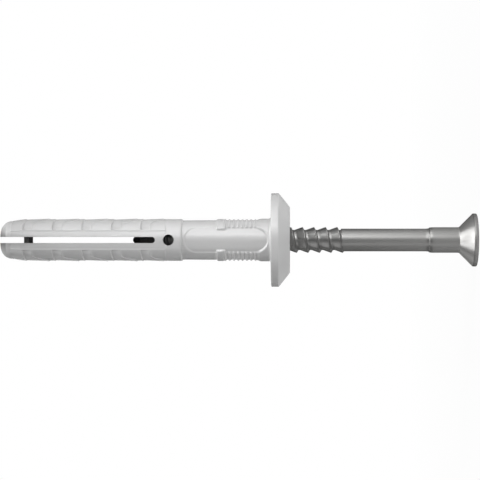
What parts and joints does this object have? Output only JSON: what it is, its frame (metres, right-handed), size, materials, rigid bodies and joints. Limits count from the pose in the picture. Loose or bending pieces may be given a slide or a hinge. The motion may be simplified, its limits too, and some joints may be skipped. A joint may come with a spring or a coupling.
{
  "type": "hammer fixing plug",
  "caption": "Slotted nylon sleeve with barbed legs and a low round collar, holding a saw-tooth threaded steel nail with a flat countersunk head.",
  "frame": {"origin": "middle of the flat face of the nail's head, on which the plug stands", "axes": "+Z along the plug from the nail's head to the sleeve's tip, -Y out of the slot side that the picture shows, +X to the picture's upper side"},
  "size_m": [0.0138, 0.0138, 0.0702],
  "materials": {
    "nylon": "satin light grey",
    "zinc_plated_steel": "bright zinc plating"
  },
  "bodies": {
    "root": {"plug_sleeve": "nylon", "nail_screw": "zinc_plated_steel"}
  },
  "joints": []
}
